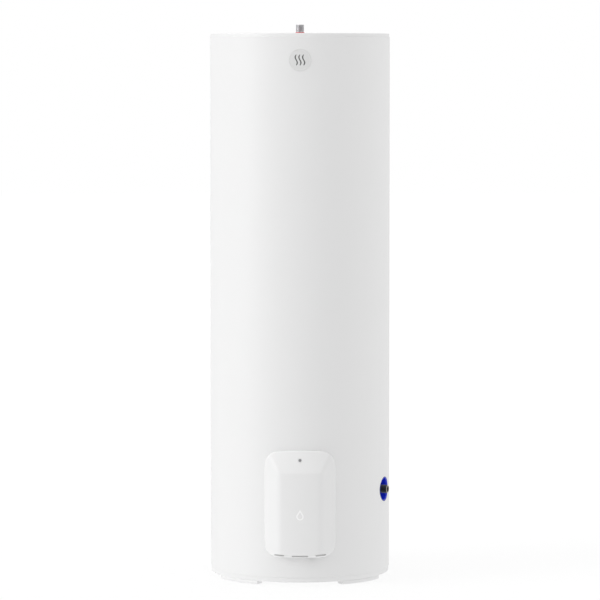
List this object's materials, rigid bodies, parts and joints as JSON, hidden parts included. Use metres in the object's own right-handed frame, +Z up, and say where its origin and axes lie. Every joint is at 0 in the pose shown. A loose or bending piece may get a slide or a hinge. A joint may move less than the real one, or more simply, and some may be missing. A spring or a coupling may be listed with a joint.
{
  "type": "tank water heater",
  "caption": "Floor-standing electric tank water heater: white steel jacket over a foamed enamelled tank, lid, feet, pipe stubs, and a front cover over the heating flange, thermostat and wiring",
  "frame": {"origin": "on the floor, at the centre of the footprint, level with the feet's undersides; the tank's axis stands 14.9 mm behind it", "axes": "+Z up along the tank; the front with the cover faces -Y; the cold inlet is on the +X side, 70 degrees round from the front"},
  "size_m": [0.5748, 0.6076, 1.767],
  "materials": {
    "white_painted_steel": "satin white powder coat with a faint orange peel",
    "white_lid_plastic": "satin moulded white",
    "white_cover_plastic": "satin moulded white",
    "drop_white": "gloss white inlay",
    "badge_silver": "satin silver film under a clear face",
    "plate_silver": "satin foil",
    "galvanised_pipe": "dull galvanised",
    "red_plastic": "satin red",
    "blue_plastic": "satin deep blue",
    "black_steel": "bare hot-rolled steel, oiled",
    "vitreous_enamel": "glossy dark blue-black enamel",
    "insulation_foam": "rigid polyurethane foam, closed cell",
    "black_rubber": "matt black",
    "zinc_steel": "bright zinc plate",
    "steatite": "unglazed cream ceramic",
    "resistance_wire": "oxidised nickel-chrome",
    "dark_bakelite": "semi-gloss thermoset",
    "brass": "bright turned brass",
    "magnesium": "dull cast light alloy",
    "copper": "bright copper",
    "cream_plastic": "satin cream",
    "red_dial_plastic": "satin red",
    "green_button_plastic": "satin green",
    "dark_frame_plastic": "matt dark grey, glass filled",
    "black_gland_plastic": "matt black",
    "black_oxide_steel": "black oxide",
    "brown_pvc": "satin brown",
    "blue_pvc": "satin blue",
    "black_pvc": "satin black",
    "green_yellow_pvc": "satin green with a yellow stripe"
  },
  "bodies": {
    "heater": {"tank_shell": "black_steel", "tank_top_dome": "black_steel", "tank_bottom_dome": "black_steel", "support_skirt": "zinc_steel", "insulation_foam": "insulation_foam", "jacket": "white_painted_steel", "top_lid": "white_lid_plastic", "bottom_pan": "white_lid_plastic", "foot_front_left": "white_lid_plastic", "foot_front_right": "white_lid_plastic", "foot_rear_left": "white_lid_plastic", "foot_rear_right": "white_lid_plastic", "foot_bolts": "zinc_steel", "foot_nuts": "zinc_steel", "hot_outlet_pipe": "galvanised_pipe", "hot_outlet_ring": "red_plastic", "cold_inlet_pipe": "galvanised_pipe", "cold_inlet_cup": "blue_plastic", "cold_inlet_diffuser": "cream_plastic", "flange_neck": "black_steel", "flange_studs": "zinc_steel", "flange_gasket": "black_rubber", "heater_flange": "vitreous_enamel", "flange_nuts": "zinc_steel", "element_sheath": "vitreous_enamel", "ceramic_segments": "steatite", "heating_coils": "resistance_wire", "element_tie_rod": "zinc_steel", "element_head": "dark_bakelite", "element_terminals": "brass", "anode_rod": "magnesium", "anode_core": "zinc_steel", "anode_nut": "zinc_steel", "thermowell": "zinc_steel", "thermostat_probes": "copper", "thermostat_body": "cream_plastic", "terminal_block": "cream_plastic", "terminal_screws": "brass", "wire_live": "brown_pvc", "wire_neutral": "blue_pvc", "wire_element_live": "black_pvc", "wire_element_neutral": "blue_pvc", "wire_earth": "green_yellow_pvc", "earth_screw": "brass", "cover_frame": "dark_frame_plastic", "frame_rivets": "zinc_steel", "cable_gland": "black_gland_plastic", "badge": "badge_silver", "rating_plate": "plate_silver"},
    "cover": {"cover": "white_cover_plastic", "drop_symbol": "drop_white"},
    "cover_screw": {"cover_screw": "black_oxide_steel"},
    "temperature_dial": {"temperature_dial": "red_dial_plastic"},
    "reset_button": {"reset_button": "green_button_plastic"}
  },
  "joints": [
    {"name": "cover_slide", "type": "slide", "parent": "heater", "child": "cover", "axis": [0, -1, 0], "range_m": [0, 0.15]},
    {"name": "cover_screw_turn", "type": "hinge", "parent": "cover", "child": "cover_screw", "pos_m": [0, -0.2813, 0.401], "axis": [0, -1, 0], "range_deg": [0, 1440]},
    {"name": "temperature_dial_turn", "type": "hinge", "parent": "heater", "child": "temperature_dial", "pos_m": [0.022, -0.2901, 0.278], "axis": [0, -1, 0], "range_deg": [-135, 135]},
    {"name": "reset_button_press", "type": "slide", "parent": "heater", "child": "reset_button", "axis": [0, 1, 0], "range_m": [0, 0.002], "stiffness_N_per_m": 600}
  ]
}
